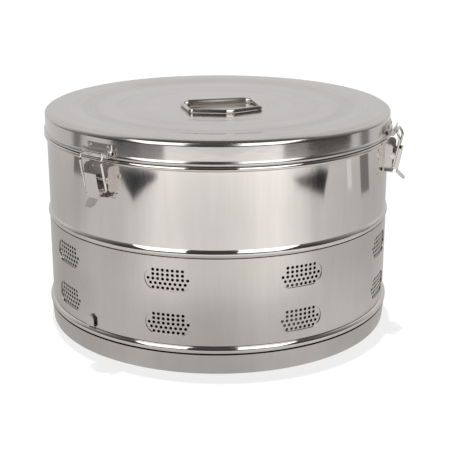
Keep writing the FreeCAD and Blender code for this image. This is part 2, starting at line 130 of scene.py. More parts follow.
# Brightness of the lid's rings by their radius, painted reflections of the rings pressed in it, and how far
# the rings' radius sways
LID_RING_REFLECTIONS = ((0, 1.0), (80, 1.0), (88, 0.97), (100, 0.98), (112, 0.95), (116, 1.0), (131, 1.0), (134, 0.905),
             (149, 0.90), (153, 1.0), (172, 0.97), (200, 1.0))
RING_SWAY = 4.0

# Thumb tab on the band; its upper corners are rounded by a share of its width
TAB_AZIMUTH = -44.0
TAB_FOOT = 32.0
TAB_WIDTH = 11.4
TAB_HEIGHT = 12.8
TAB_REACH = 3.0
TAB_FOLD = 1.2
TAB_ROUND = 0.49

# Wire handle as it lies before it is turned and shifted, and how far each corner is bent
HANDLE_CORNERS = ((-41, 0), (41, 0), (40, -43.5), (0, -58), (-40, -43.5))
HANDLE_BENDS = (5, 5, 5, 22, 5)
HANDLE_RADIUS = 2.1
HANDLE_LEVEL = 242.4
HANDLE_ANGLE = 13.2
HANDLE_OFFSET = (-1.05, 8.4)

# Latches, and one side of a latch's wire loop from its end in the lever to the bar over the keeper
LATCHES = {"left": -37.5, "right": 74.5, "back": 198.5}
LOOP_SIDE = ((-6.6, -198.6, 185.5), (-14.2, -198.6, 185.5), (-14.2, -205.2, 216.5), (-14.2, -201.4, 224.5))
LOOP_BENDS = (0, 3, 7, 5, 5, 7, 3, 0)
LOOP_RADIUS = 1.25

# Broken edges of the small pressings
LATCH_EDGE = 0.18
CLIP_EDGE = 0.1

# Patterns in the sheet, by size: patches where its colour drifts, waves left by rolling, streaks left
# by wiping (across, across and up), and the marks that turning left on the lid
PATCH_SIZE = 71.4
WAVE_SIZE = 55.6
STREAK_SIZE = (18.2, 18.2, 200)
TURNING_SIZE = 3.85

# From here to the camera, lengths are in metres. The table, and round the drum by azimuth the
# brightness of its paper in the metal, a painted reflection that glows: painted shade at the drum's
# foot and near it, and from 0.4 m on painted light, brightest to either side of the front
TABLE_RADIUS = 6.0
PAINTED_FOOT_SHADE = ((-95, 0.50), (-68, 0.56), (-48, 0.60), (-28, 0.70), (-14, 0.63), (0, 0.61), (14, 0.67),
              (28, 0.72), (41, 0.68), (55, 0.60), (68, 0.58), (81, 0.54), (120, 0.50))
PAINTED_NEAR_SHADE = ((-95, 0.56), (-80, 0.62), (-62, 0.74), (-40, 0.76), (-25, 0.74), (-12, 0.65), (0, 0.62),
              (10, 0.68), (22, 0.76), (38, 0.80), (60, 0.84), (80, 0.74), (95, 0.66), (120, 0.6))
PAINTED_FAR_LIGHT = ((-140, 0.58), (-115, 0.60), (-92, 0.60), (-80, 0.74), (-57, 0.76), (-46, 0.88), (-34, 1.14),
             (-23, 1.11), (-8, 1.01), (0, 0.98), (11, 1.03), (23, 1.21), (34, 1.25), (46, 1.07),
             (57, 0.80), (80, 0.70), (95, 0.66), (115, 0.60), (140, 0.58))

# By distance, shares from 0 to 1: where the near paper takes over from the foot's, where the far
# paper takes over, and where the paper has ended. The far paper's painted light is lifted as it goes, past
# white.
# By azimuth: where the paper ends at all, which it does in front only.
NEAR_STARTS = ((0.222, 0.0), (0.24, 1.0))
FAR_STARTS = ((0.36, 0.0), (0.42, 1.0))
PAPER_ENDS = ((1.3, 0.0), (1.5, 1.0))
PAINTED_LIGHT_LIFT = ((0.0, 0.97), (0.64, 0.97), (0.80, 1.0), (0.95, 1.05), (1.08, 1.27), (2.0, 1.27))
ENDS_IN_FRONT = ((-135, 0.0), (-115, 1.0), (115, 1.0), (135, 0.0))

# Painted reflections: cards that lie on the table, glow at their colour and show in the metal only: colour,
# and corners by azimuth and distance
CARD_LEVEL = 0.001
PAINTED_REFLECTION_CARDS = {
    "card_left": ("#35373C", ((-49.5, 0.785), (-57, 0.885), (-63, 0.95), (-62, 1.0), (-50, 1.0),
                              (-40, 0.985), (-34, 0.955), (-42, 0.87))),
    "card_left_far": ("#35373C", ((-66, 1.06), (-66, 1.7), (-57, 1.7), (-57, 1.06))),
    "card_left_end": ("#656769", ((-57, 1.06), (-57, 1.7), (-47, 1.7), (-47, 1.06))),
    "card_left_tip": ("#909193", ((-47, 1.06), (-47, 1.7), (-32, 1.7), (-31, 1.05))),
    "card_left_side": ("#7C7C7C", ((-91, 0.86), (-91, 1.7), (-99, 1.7), (-99, 0.86))),
    "card_right": ("#272729", ((43, 0.925), (62.5, 0.97), (69, 0.94), (66.5, 0.86), (64.3, 0.785),
                               (55, 0.835), (48.4, 0.87))),
    "card_right_far": ("#454442", ((54, 1.06), (54, 1.7), (89, 1.7), (88, 1.06))),
    "card_right_tip": ("#908F8E", ((38, 1.08), (40, 1.7), (54, 1.7), (54, 1.06))),
    "card_right_strip": ("#F7F7F7", ((84, 0.78), (84, 1.06), (88, 1.06), (88, 0.78))),
    "card_right_side": ("#868686", ((97, 0.72), (97, 1.7), (107, 1.7), (107, 0.72))),
}

# Room in the metal. By how far back a look goes: the share of bright backdrop in it. By how steeply it
# rises: the brightness of the backdrop, and of the dark room before it.
BACKDROP_SHARE = ((0.30, 0.0), (0.50, 0.2), (0.60, 0.42), (0.78, 1.0))
BACKDROP = ((0.0, 0.68), (0.21, 0.75), (0.35, 0.79), (0.74, 0.8), (0.82, 0.15), (1.0, 0.06))
DARK_ROOM = ((0.0, 0.06), (0.6, 0.06), (1.0, 0.1))

# Two softboxes that look at a point in the drum: for each its azimuth, width and lean
SOFTBOXES = {"softbox_left": (-42.5, 0.75, 22), "softbox_right": (36, 0.82, -22)}
SOFTBOX_TARGET = (0.0, 0.0, 0.15)
SOFTBOX_ELEVATION = 42
SOFTBOX_DISTANCE = 1.5
SOFTBOX_LENGTH = 1.8
SOFTBOX_BRIGHTNESS = 2.2

# Lamp almost overhead: strength, the degrees that it looks wide, and its lean back and aside
OVERHEAD_STRENGTH = 2.2
OVERHEAD_WIDTH = 1.0
OVERHEAD_LEAN = (-5.0, -1.2)

# Camera: lens and sensor in millimetres, place, degrees that it looks down, and its turn in radians
LENS = 85.486
SENSOR = 36.0
CAMERA_PLACE = (0.0, -1.17956, 0.47113)
CAMERA_DIP = 17.495
CAMERA_TURN = -0.0068


def start_at(name, x, y, z):
    """A new piece with a single point in it, left in edit mode with that point selected."""
    bpy.ops.object.select_all(action="DESELECT")
    bpy.ops.mesh.primitive_plane_add(size=MM, location=(x * MM, y * MM, z * MM))
    piece = bpy.context.object
    piece.name = name
    piece.data.name = name
    bpy.ops.object.transform_apply(location=True, rotation=True, scale=True)
    bpy.ops.object.mode_set(mode="EDIT")
    bpy.ops.mesh.select_mode(type="VERT")
    bpy.ops.mesh.select_all(action="SELECT")
    bpy.ops.mesh.merge(type="CENTER")
    return piece


def draw(steps):
    """Extrude the selected point through steps: (r, z) is a straight run, (r, z, turn) an arc about r, z."""
    here = steps[0]
    for step in steps[1:]:
        if len(step) == 2:
            move = (0, (here[0] - step[0]) * MM, (step[1] - here[1]) * MM)
            bpy.ops.mesh.extrude_vertices_move(TRANSFORM_OT_translate={"value": move})
            here = step
        else:
            r, z, turn = step
            count = max(3, round(abs(turn) / ARC_FACET))
            bpy.ops.mesh.spin(steps=count, angle=math.radians(turn), center=(0, -r * MM, z * MM),
                              axis=(1, 0, 0))
            angle = math.radians(turn)
            out, up = here[0] - r, here[1] - z
            here = (r + out * math.cos(angle) - up * math.sin(angle),
                    z + up * math.cos(angle) + out * math.sin(angle))


def finish_shell(piece, edge=SHEET_EDGE):
    """Merge doubles, point the skin outwards, give the sheet its thickness and break its edges."""
    bpy.ops.mesh.select_all(action="SELECT")
    bpy.ops.mesh.remove_doubles(threshold=TOUCH * MM)
    bpy.ops.mesh.normals_make_consistent(inside=False)
    bpy.ops.object.mode_set(mode="OBJECT")
    apply_modifier(piece, "SOLIDIFY", thickness=SHEET * MM, offset=-1)
    if edge:
        apply_modifier(piece, "BEVEL", width=edge * MM, segments=2, limit_method="ANGLE",
                       angle_limit=math.radians(BROKEN_ANGLE))
    smooth(piece)


def apply_modifier(piece, kind, **settings):
    """Add one modifier with its settings and apply it."""
    bpy.ops.object.select_all(action="DESELECT")
    bpy.context.view_layer.objects.active = piece
    piece.select_set(True)
    modifier = piece.modifiers.new(kind.title(), kind)
    for setting, value in settings.items():
        setattr(modifier, setting, value)
    bpy.ops.object.modifier_apply(modifier=modifier.name)


def smooth(piece, angle=CREASE_ANGLE):
    """Smooth shading with creases where the sheet turns sharply."""
    bpy.ops.object.select_all(action="DESELECT")
    bpy.context.view_layer.objects.active = piece
    piece.select_set(True)
    bpy.ops.object.shade_smooth_by_angle(angle=math.radians(angle))
    apply_modifier(piece, "WEIGHTED_NORMAL", mode="FACE_AREA", weight=100, keep_sharp=True)


def turned_sheet(name, steps, edge=SHEET_EDGE):
    """Draw an outline on the front of the drum and spin it round the drum's axis."""
    piece = start_at(name, 0, -steps[0][0], steps[0][1])
    draw(steps)
    bpy.ops.mesh.select_all(action="SELECT")
    bpy.ops.mesh.spin(steps=TURN_STEPS, angle=2 * math.pi, center=(0, 0, 0), axis=(0, 0, 1),
                      use_auto_merge=True)
    finish_shell(piece, edge)
    return piece


def pick(piece, test, kind="VERT"):
    """Select the points, edges or faces whose middle passes the test, in edit mode."""
    bpy.ops.mesh.select_mode(type=kind)
    bpy.ops.mesh.select_all(action="DESELECT")
    mesh = bmesh.from_edit_mesh(piece.data)
    for item in {"VERT": mesh.verts, "EDGE": mesh.edges, "FACE": mesh.faces}[kind]:
        if kind == "VERT":
            middle = item.co
        elif kind == "EDGE":
            middle = (item.verts[0].co + item.verts[1].co) / 2
        else:
            middle = item.calc_center_median()
        if test(middle / MM):
            item.select_set(True)
    if kind == "VERT":
        mesh.select_flush(True)
    bmesh.update_edit_mesh(piece.data)


def join(first, *others):
    """Join pieces into the first."""
    bpy.ops.object.select_all(action="DESELECT")
    for other in others:
        other.select_set(True)
    first.select_set(True)
    bpy.context.view_layer.objects.active = first
    bpy.ops.object.join()
    return first


def repeat_at_windows():
    """Turn the selected mesh from the front to each window's place, as separate copies."""
    bpy.ops.transform.translate(value=(0, 0, WINDOW_LEVELS[0] * MM))
    bpy.ops.transform.rotate(value=-math.radians(WINDOW_AZIMUTHS[0]), orient_axis="Z",
                             center_override=(0, 0, 0))
    turn = math.radians(WINDOW_AZIMUTHS[-1] - WINDOW_AZIMUTHS[0])
    bpy.ops.mesh.spin(steps=len(WINDOW_AZIMUTHS) - 1, dupli=True, angle=-turn,
                      center=(0, 0, 0), axis=(0, 0, 1))
    bpy.ops.mesh.select_all(action="SELECT")
    rise = (WINDOW_LEVELS[1] - WINDOW_LEVELS[0]) * MM
    bpy.ops.mesh.duplicate_move(TRANSFORM_OT_translate={"value": (0, 0, rise)})


def window_blocks(name, width, height, corner):
    """Blocks that cut an opening at every window, with its upright edges rounded by the corner."""
    bpy.ops.object.select_all(action="DESELECT")
    bpy.ops.mesh.primitive_cube_add(size=MM, location=(0, -WALL * MM, 0))
    blocks = bpy.context.object
    blocks.name = name
    bpy.ops.object.transform_apply(location=True, rotation=True, scale=True)
    bpy.ops.object.mode_set(mode="EDIT")
    bpy.ops.mesh.select_all(action="SELECT")
    bpy.ops.transform.resize(value=(width, BLOCK_DEPTH, height), center_override=(0, -WALL * MM, 0))
    pick(blocks, lambda p: abs(abs(p.x) - width / 2) < TOUCH and abs(abs(p.z) - height / 2) < TOUCH,
         "EDGE")
    bpy.ops.mesh.bevel(offset=corner * MM, segments=12, affect="EDGES")
    bpy.ops.mesh.select_all(action="SELECT")
    repeat_at_windows()
    bpy.ops.object.mode_set(mode="OBJECT")
    return blocks


def cut_out(piece, blocks):
    """Cut the blocks out of a piece and throw the blocks away."""
    apply_modifier(piece, "BOOLEAN", object=blocks, operation="DIFFERENCE", solver="EXACT")
    bpy.data.objects.remove(blocks)


def steam_plates():
    """The sheet behind each window, with its rows of round holes: one cell, repeated along the wall."""
    bpy.ops.object.select_all(action="DESELECT")
    bpy.ops.mesh.primitive_plane_add(size=MM, location=(0, -PLATE_FACE * MM, 0),
                                     rotation=(math.pi / 2, 0, 0))
    plates = bpy.context.object
    plates.name = "steam_plates"
    bpy.ops.object.transform_apply(location=True, rotation=True, scale=True)
    bpy.ops.object.mode_set(mode="EDIT")
    bpy.ops.mesh.select_mode(type="VERT")
    bpy.ops.mesh.select_all(action="SELECT")
    middle = (0, -PLATE_FACE * MM, 0)
    width = 2 * PLATE_FACE * math.tan(math.radians(HOLE_ANGLE / 2))
    bpy.ops.transform.resize(value=(width, 1, HOLE_ROW_PITCH), center_override=middle)
    bpy.ops.mesh.subdivide(number_cuts=2)
    bpy.ops.mesh.inset(thickness=CELL_RIM * MM, use_boundary=True)
    bpy.ops.transform.tosphere(value=1)
    mesh = bmesh.from_edit_mesh(plates.data)
    found = max((v.co - Vector(middle)).length for v in mesh.verts if v.select)
    ratio = HOLE_RADIUS * MM / found
    bpy.ops.transform.resize(value=(ratio, 1, ratio), center_override=middle)
    bpy.ops.mesh.delete(type="FACE")
    levels = [(len(HOLE_ROWS) // 2 - row) * HOLE_ROW_PITCH for row in range(len(HOLE_ROWS))]
    cell_top = HOLE_ROW_PITCH / 2
    for level, count in zip(levels, HOLE_ROWS):
        # Each row is made well above the cell, so that the cell can still be picked by its level
        pick(plates, lambda p: abs(p.z) < cell_top + TOUCH)
        lift = (0, 0, (ROW_LIFT + level) * MM)
        bpy.ops.mesh.duplicate_move(TRANSFORM_OT_translate={"value": lift})
        first = (count - 1) / 2 * HOLE_ANGLE
        bpy.ops.transform.rotate(value=math.radians(first), orient_axis="Z", center_override=(0, 0, 0))
        bpy.ops.mesh.spin(steps=count - 1, dupli=True, angle=-math.radians(2 * first),
                          center=(0, 0, 0), axis=(0, 0, 1))
        close_row(plates, ROW_LIFT + level, count)
    pick(plates, lambda p: p.z < ROW_LIFT / 2)
    bpy.ops.mesh.delete(type="VERT")
    bpy.ops.mesh.select_all(action="SELECT")
    bpy.ops.transform.translate(value=(0, 0, -ROW_LIFT * MM))
    bpy.ops.mesh.remove_doubles(threshold=2 * TOUCH * MM)
    for side in (-1, 1):
        edge = side * (len(HOLE_ROWS) * HOLE_ROW_PITCH / 2)
        pick(plates, lambda p: abs(p.z - edge) < TOUCH, "EDGE")
        margin = (0, 0, side * PLATE_MARGIN * MM)
        bpy.ops.mesh.extrude_region_move(TRANSFORM_OT_translate={"value": margin})
    # The faces that look into the drum are turned to look out
    bpy.ops.mesh.select_mode(type="FACE")
    mesh = bmesh.from_edit_mesh(plates.data)
    for face in mesh.faces:
        face.select_set(face.normal.y > 0)
    bpy.ops.mesh.flip_normals()
    bpy.ops.mesh.select_all(action="SELECT")
    repeat_at_windows()
    bpy.ops.object.mode_set(mode="OBJECT")
    apply_modifier(plates, "SOLIDIFY", thickness=PLATE * MM, offset=-1)
    smooth(plates)
    return plates


def close_row(plates, level, count):
    """Plain sheet from a row's last holes to the sides of the window."""
    half = count / 2 * HOLE_ANGLE
    for side in (-1, 1):
        fill = PLATE_HALF_ANGLE - half

        def at_end(p):
            azimuth = math.degrees(math.atan2(p.x, -p.y))
            return abs(p.z - level) < HOLE_ROW_PITCH / 2 and abs(azimuth - side * half) < HOLE_ANGLE / 100

        pick(plates, at_end, "EDGE")
        bpy.ops.mesh.spin(steps=2, angle=-math.radians(side * fill), center=(0, 0, 0), axis=(0, 0, 1))


def drum_wall():
    """Rolled wall: seat for the band between two beads, a plain upper part, rim bead and hemmed mouth."""
    out, level = LOWER_BEAD
    low, high = level - LOWER_BEAD_RADIUS, level + LOWER_BEAD_RADIUS
    steps = [(SEAT, WALL_FOOT), (SEAT, low), (out, low), (out, level, 180), (SEAT, high)]
    steps += [(SEAT, MIDDLE_BEAD_FOOT), (*MIDDLE_BEAD, MIDDLE_BEAD_TURN), (WALL, MIDDLE_BEAD_TOP)]
    out, level = RIM_BEAD
    low, high = level - RIM_BEAD_RADIUS, level + RIM_BEAD_RADIUS
    steps += [(WALL, low), (out, low), (out, level, 180), (WALL, high)]
    hem = MOUTH - HEM_RADIUS
    steps += [(WALL, hem), (WALL - HEM_RADIUS, hem, 180), (WALL - 2 * HEM_RADIUS, MOUTH - HEM_DEPTH)]
    wall = turned_sheet("drum_wall", steps)
    cut_out(wall, window_blocks("wall_openings", *OPENING_SIZE))
    smooth(wall)
    dress(wall, buffed)
    plates = steam_plates()
    dress(plates, satin)
    return join(wall, plates)


def drum_base():
    """Pressed pan round the foot, with its stiffening groove."""
    steps = [(BASE_TOP_RADIUS, BASE_TOP), (BASE_FOOT_RADIUS, BASE_CORNER)]
    steps += [(BASE_FOOT_RADIUS - BASE_CORNER, BASE_CORNER, -90), (GROOVE[1], 0.0)]
    steps += [(GROOVE[1] - GROOVE_HEIGHT, GROOVE_HEIGHT), (GROOVE[0] + GROOVE_HEIGHT, GROOVE_HEIGHT)]
    steps += [(GROOVE[0], 0.0), (0.0, 0.0)]
    return dress(turned_sheet("drum_base", steps), satin)


def turning_band():
    """Turning band with its windows cut through, and the lap of its seam."""
    out = WALL + SHEET
    band = turned_sheet("turning_band", [(out, BAND_BOTTOM), (out, BAND_TOP)], edge=0)
    cut_out(band, window_blocks("band_windows", *WINDOW_SIZE))
    apply_modifier(band, "BEVEL", width=WINDOW_EDGE * MM, segments=2, limit_method="ANGLE",
                   angle_limit=math.radians(BROKEN_ANGLE))
    smooth(band)
    out += SHEET
    lap = start_at("band_lap", 0, -out, BAND_BOTTOM)
    draw([(out, BAND_BOTTOM), (out, BAND_TOP)])
    bpy.ops.mesh.select_all(action="SELECT")
    bpy.ops.transform.rotate(value=-math.radians(SEAM_AZIMUTH - SEAM_ANGLE / 2), orient_axis="Z",
                             center_override=(0, 0, 0))
    bpy.ops.mesh.spin(steps=LAP_STEPS, angle=-math.radians(SEAM_ANGLE), center=(0, 0, 0),
                      axis=(0, 0, 1))
    finish_shell(lap)
    return dress(join(band, lap), satin)


def lid_shell():
    """Pressed lid: low rings in its panel, a crowned edge, a skirt and a rolled rim."""
    steps = [(0.0, LID_PANEL)]
    level = LID_PANEL
    for radius, width, rise in LID_STEPS:
        for part in range(SLOPE_STEPS + 1):
            share = part / SLOPE_STEPS
            ease = share - math.sin(2 * math.pi * share) / (2 * math.pi)
            steps.append((radius + width * (share - 0.5), level + rise * ease))
        level += rise
    turn = math.radians(CROWN_ANGLE)
    between = CROWN - LID_CORNER
    crown = LID_SKIRT - LID_CORNER - between * math.sin(turn)
    steps += [(crown, level), (crown, level - CROWN, -CROWN_ANGLE)]
    edge = (crown + between * math.sin(turn), level - CROWN + between * math.cos(turn))
    steps += [(*edge, CROWN_ANGLE - 90), (LID_SKIRT, LID_ROLL_LEVEL + LID_ROLL_HALF)]
    roll = (LID_ROLL_REACH ** 2 + LID_ROLL_HALF ** 2) / (2 * LID_ROLL_REACH)
    half = math.degrees(math.asin(LID_ROLL_HALF / roll))
    steps += [(LID_SKIRT + LID_ROLL_REACH - roll, LID_ROLL_LEVEL, -2 * half)]
    return dress(turned_sheet("lid_shell", steps), pressed)


def wire(name, corners, bends, radius, closed):
    """Bend a wire: draw it run by run, swing its point round each bend, and give it its thickness."""
    corners = [Vector(corner) for corner in corners]
    here = (corners[0] + corners[-1]) / 2 if closed else corners[0]
    piece = start_at(name, *here)
    count = len(corners)
    for index in range(0 if closed else 1, count if closed else count - 1):
        corner = corners[index]
        back = (corners[index - 1] - corner).normalized()
        ahead = (corners[(index + 1) % count] - corner).normalized()
        half = back.angle(ahead) / 2
        start = corner + back * (bends[index] / math.tan(half))
        centre = corner + (back + ahead).normalized() * (bends[index] / math.sin(half))
        bpy.ops.mesh.extrude_vertices_move(TRANSFORM_OT_translate={"value": (start - here) * MM})
        bpy.ops.mesh.spin(steps=BEND_STEPS, angle=2 * half - math.pi, center=centre * MM,
                          axis=ahead.cross(back))
        here = corner + ahead * (bends[index] / math.tan(half))
    end = (corners[0] + corners[-1]) / 2 if closed else corners[-1]
    bpy.ops.mesh.extrude_vertices_move(TRANSFORM_OT_translate={"value": (end - here) * MM})
    bpy.ops.mesh.select_all(action="SELECT")
    bpy.ops.mesh.remove_doubles(threshold=TOUCH * MM)
    bpy.ops.object.mode_set(mode="OBJECT")
    bpy.ops.object.convert(target="CURVE")
    piece = bpy.context.object
    piece.data.bevel_depth = radius * MM
    piece.data.bevel_resolution = 4
    piece.data.use_fill_caps = True
    bpy.ops.object.convert(target="MESH")
    piece = bpy.context.object
    bpy.ops.object.mode_set(mode="EDIT")
    bpy.ops.mesh.select_all(action="SELECT")
    bpy.ops.mesh.remove_doubles(threshold=TOUCH / 2 * MM)
    bpy.ops.mesh.normals_make_consistent(inside=False)
    bpy.ops.object.mode_set(mode="OBJECT")
    smooth(piece, WIRE_CREASE_ANGLE)
    return piece


def turn_piece(piece, degrees, offset=(0, 0)):
    """Turn a piece about the drum's axis, then shift it, in its mesh."""
    bpy.ops.object.select_all(action="DESELECT")
    bpy.context.view_layer.objects.active = piece
    piece.select_set(True)
    bpy.ops.object.mode_set(mode="EDIT")
    bpy.ops.mesh.select_all(action="SELECT")
    bpy.ops.transform.rotate(value=-math.radians(degrees), orient_axis="Z", center_override=(0, 0, 0))
    bpy.ops.transform.translate(value=(offset[0] * MM, offset[1] * MM, 0))
    bpy.ops.object.mode_set(mode="OBJECT")
    return piece


def thumb_tab():
    """Thumb tab: a round-ended tongue folded up from the band's foot, standing off the band."""
    face = WALL + SHEET + TAB_REACH
    middle = (0, -face * MM, (TAB_FOOT + TAB_HEIGHT / 2) * MM)
    bpy.ops.object.select_all(action="DESELECT")
    bpy.ops.mesh.primitive_plane_add(size=MM, location=middle, rotation=(math.pi / 2, 0, 0))
    tab = bpy.context.object
    tab.name = "thumb_tab"
    bpy.ops.object.transform_apply(location=True, rotation=True, scale=True)
    bpy.ops.object.mode_set(mode="EDIT")
    bpy.ops.mesh.select_mode(type="VERT")
    bpy.ops.mesh.select_all(action="SELECT")
    bpy.ops.transform.resize(value=(TAB_WIDTH, 1, TAB_HEIGHT), center_override=middle)
    pick(tab, lambda p: p.z > TAB_FOOT + TOUCH)
    bpy.ops.mesh.bevel(offset=TAB_WIDTH * TAB_ROUND * MM, segments=10, affect="VERTICES")
    pick(tab, lambda p: p.z < TAB_FOOT + TOUCH, "EDGE")
    bpy.ops.mesh.extrude_region_move(TRANSFORM_OT_translate={"value": (0, TAB_REACH * MM, 0)})
    pick(tab, lambda p: p.z < TAB_FOOT + TOUCH and p.y < TOUCH - face, "EDGE")
    bpy.ops.mesh.bevel(offset=TAB_FOLD * MM, segments=6, affect="EDGES")
    finish_shell(tab)
    return dress(turn_piece(tab, TAB_AZIMUTH), satin)


def handle_wire():
    """Closed wire handle with a pointed front, lying on the lid."""
    corners = [(x, y, HANDLE_LEVEL) for x, y in HANDLE_CORNERS]
    ring = wire("handle_wire", corners, HANDLE_BENDS, HANDLE_RADIUS, closed=True)
    return dress(turn_piece(ring, HANDLE_ANGLE, HANDLE_OFFSET), bright)


def latch_wire(side, azimuth):
    """Wire loop of a latch, from one end in the lever over the keeper to the other end."""
    corners = list(LOOP_SIDE) + [(-x, y, z) for x, y, z in reversed(LOOP_SIDE)]
    loop = wire("latch_wire_" + side, corners, LOOP_BENDS, LOOP_RADIUS, closed=False)
    return dress(turn_piece(loop, azimuth), bright)


def soften(piece, width):
    """Break the sharp edges of a pressed piece from the frame."""
    weld = piece.modifiers.new("Weld", "WELD")
    weld.merge_threshold = TOUCH / 5 * MM
    bevel = piece.modifiers.new("Bevel", "BEVEL")
    bevel.width = width * MM
    bevel.segments = 2
    bevel.limit_method = "ANGLE"
    bevel.angle_limit = math.radians(PRESSED_ANGLE)
    bevel.harden_normals = True


def linear(code):
    """An sRGB hex colour as linear values with alpha."""
    parts = [int(code[i:i + 2], 16) / 255 for i in (1, 3, 5)]
    return [p / 12.92 if p <= 0.04045 else ((p + 0.055) / 1.055) ** 2.4 for p in parts] + [1.0]


def greys(stops, reach=1.0):
    """A ramp's stops from (distance, brightness), with the ramp as long as the reach."""
    return [(distance / reach, (level, level, level, 1.0)) for distance, level in stops]


def around(stops):
    """A ramp's stops from (azimuth in degrees, brightness), with the front in the ramp's middle."""
    return greys([(azimuth / 360 + 0.5, level) for azimuth, level in stops])


def per_metre(size):
    """How often a pattern of a size in millimetres repeats in a metre."""
    return 1 / (size * MM)


def emptied(owner):
    """The node tree of a new material or world, emptied."""
    owner.use_nodes = True
    owner.node_tree.nodes.clear()
    return owner.node_tree


def add(tree, kind, values=None, stops=(), **settings):
    """Add one shader node: its settings, its sockets' values or links, and a ramp's stops."""
    made = tree.nodes.new("ShaderNode" + kind)
    for setting, value in settings.items():
        setattr(made, setting, value)
    for socket, value in (values or {}).items():
        if isinstance(value, bpy.types.Node):
            value = value.outputs[0]
        if isinstance(value, bpy.types.NodeSocket):
            tree.links.new(value, made.inputs[socket])
        else:
            made.inputs[socket].default_value = value
    if stops:
        elements = made.color_ramp.elements
        for element, (position, colour) in zip(elements, (stops[0], stops[-1])):
            element.position = position
            element.color = colour
        for position, colour in stops[1:-1]:
            elements.new(position).color = colour
    return made


def stainless(name, colour, shade, rough, spread, grain, grain_depth, wave_depth, drawn=0.0, rings=(),
              streak=0.0):
    """Stainless sheet: its colour drifts, grain lines lie along it, and it isn't quite flat."""
    material = bpy.data.materials.new(name)
    tree = emptied(material)
    place = add(tree, "TexCoord").outputs["Object"]
    lines = add(tree, "Mapping", {"Vector": place, "Scale": [per_metre(size) for size in grain]})
    fine = add(tree, "TexNoise", {"Vector": lines, "Scale": 1.0, "Detail": 3.0, "Roughness": 0.6})
    patch = add(tree, "TexNoise", {"Vector": place, "Scale": per_metre(PATCH_SIZE), "Detail": 3.0,
                                   "Roughness": 0.55})
    tint = add(tree, "ValToRGB", {"Fac": patch}, [(0.3, linear(shade)), (0.7, linear(colour))])
    mixed = add(tree, "Math", {0: fine, 1: patch}, operation="ADD")
    roughness = add(tree, "MapRange", {"Value": mixed, "From Min": 0.7, "From Max": 1.3,
                                       "To Min": rough - spread, "To Max": rough + spread})
    waves = add(tree, "TexNoise", {"Vector": place, "Scale": per_metre(WAVE_SIZE), "Detail": 1.0})
    low = add(tree, "Bump", {"Height": waves, "Distance": wave_depth * MM, "Strength": 1.0})
    high = add(tree, "Bump", {"Height": fine, "Distance": grain_depth * MM, "Strength": 1.0,
                              "Normal": low})
    if streak:
        # Streaks that wiping and handling left, upright on the drum
        upright = add(tree, "Mapping", {"Vector": place,
                                        "Scale": [per_metre(size) for size in STREAK_SIZE]})
        wiped = add(tree, "TexNoise", {"Vector": upright, "Scale": 1.0, "Detail": 4.0,
                                       "Roughness": 0.65})
        film = add(tree, "MapRange", {"Value": wiped, "From Min": 0.35, "From Max": 0.65,
                                      "To Min": 1.0 - streak, "To Max": 1.0})
        tint = add(tree, "Mix", {0: 1.0, 6: tint, 7: film}, data_type="RGBA",
                   blend_type="MULTIPLY").outputs[2]
    if rings:
        # Rings round the drum's axis, each a little lighter or darker: painted reflections of the lid's
        # pressed rings, over the fine marks that turning left
        flat = add(tree, "VectorMath", {0: place, 1: (1, 1, 0)}, operation="MULTIPLY")
        radius = add(tree, "VectorMath", {0: flat}, operation="LENGTH").outputs["Value"]
        sway = add(tree, "MapRange", {"Value": patch, "To Min": -RING_SWAY * MM, "To Max": RING_SWAY * MM})
        radius = add(tree, "Math", {0: radius, 1: sway}, operation="ADD")
        reach = rings[-1][0]
        share = add(tree, "Math", {0: radius, 1: per_metre(reach)}, operation="MULTIPLY")
        bands = add(tree, "ValToRGB", {"Fac": share}, greys(rings, reach))
        turned = add(tree, "TexNoise", {"W": radius, "Scale": per_metre(TURNING_SIZE), "Detail": 3.0},
                     noise_dimensions="1D")
        marks = add(tree, "MapRange", {"Value": turned, "From Min": 0.3, "From Max": 0.7,
                                       "To Min": 0.955, "To Max": 1.0})
        both = add(tree, "Math", {0: bands, 1: marks}, operation="MULTIPLY")
        tint = add(tree, "Mix", {0: 1.0, 6: tint, 7: both}, data_type="RGBA",
                   blend_type="MULTIPLY").outputs[2]
    skin = {"Base Color": tint, "Metallic": 1.0, "Roughness": roughness, "Normal": high}
    if drawn:
        # The sheet was rubbed round the drum, so what it mirrors is drawn out up and down
        skin["Tangent"] = add(tree, "Tangent", direction_type="RADIAL", axis="Z")
        skin["Anisotropic"] = drawn
        skin["Anisotropic Rotation"] = 0.25
    metal = add(tree, "BsdfPrincipled", skin)
    add(tree, "OutputMaterial", {"Surface": metal}, is_active_output=True)
    return material


def dress(piece, material):
    """Give a piece one material, and give the piece back."""
    piece.data.materials.clear()
    piece.data.materials.append(material)
    return piece


# Buffing and brushing lines are really under 0.1 mm wide, too fine to show, so the grain is drawn
# more than ten times as coarse: its sizes are across, across and up, its depths are real ones

# Stainless rolled and buffed round the wall: a soft mirror
buffed = stainless("buffed_stainless", colour="#D8D2CD", shade="#D2CCC7", rough=0.075, spread=0.02,
                   grain=(1.11, 1.11, 40), grain_depth=0.001, wave_depth=0.012, drawn=0.35, streak=0.06)
# Stainless with a mill finish: greyer and more even, so what it mirrors melts together
satin = stainless("satin_stainless", colour="#CDC7C2", shade="#C5BFBA", rough=0.20, spread=0.03,
                  grain=(1.43, 1.43, 16.7), grain_depth=0.0006, wave_depth=0.008, drawn=0.4, streak=0.05)
# Stainless pressed and turned: rings follow the lid's middle, lighter or darker as painted reflections of
# its pressed rings
pressed = stainless("pressed_stainless", colour="#D1CCC9", shade="#C8C3C0", rough=0.15, spread=0.03,
                    grain=(16.7, 16.7, 2), grain_depth=0.0006, wave_depth=0.012, rings=LID_RING_REFLECTIONS)
